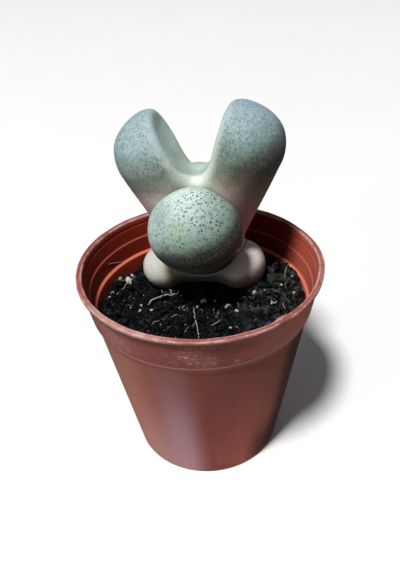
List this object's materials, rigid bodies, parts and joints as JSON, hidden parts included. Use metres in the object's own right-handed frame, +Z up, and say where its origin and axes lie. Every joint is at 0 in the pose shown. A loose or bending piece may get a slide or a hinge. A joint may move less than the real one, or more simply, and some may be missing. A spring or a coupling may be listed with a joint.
{
  "type": "potted split rock",
  "caption": "Split rock succulent with thick grey-green split leaf pairs, growing in gritty soil in a small round plastic nursery pot.",
  "frame": {"origin": "centre of the pot's underside, on the surface it stands on", "axes": "+Z up along the pot's axis, -Y towards the viewer of the picture, +X to that viewer's right"},
  "size_m": [0.055, 0.055, 0.0836],
  "materials": {
    "pot_plastic": "terracotta-coloured moulded plastic with a soft sheen and a few lime specks",
    "soil": "dark crumbly peat mix with pale mineral grains",
    "root": "dull corky bark",
    "old_leaf": "waxy off-white skin of a spent leaf, faintly speckled",
    "leaf": "waxy grey-green skin with fine dark green dots"
  },
  "bodies": {
    "root": {"pot": "pot_plastic", "soil": "soil", "taproot": "root", "old_leaf_pair": "old_leaf", "middle_leaf_pair": "leaf", "young_leaf_pair": "leaf"}
  },
  "joints": []
}
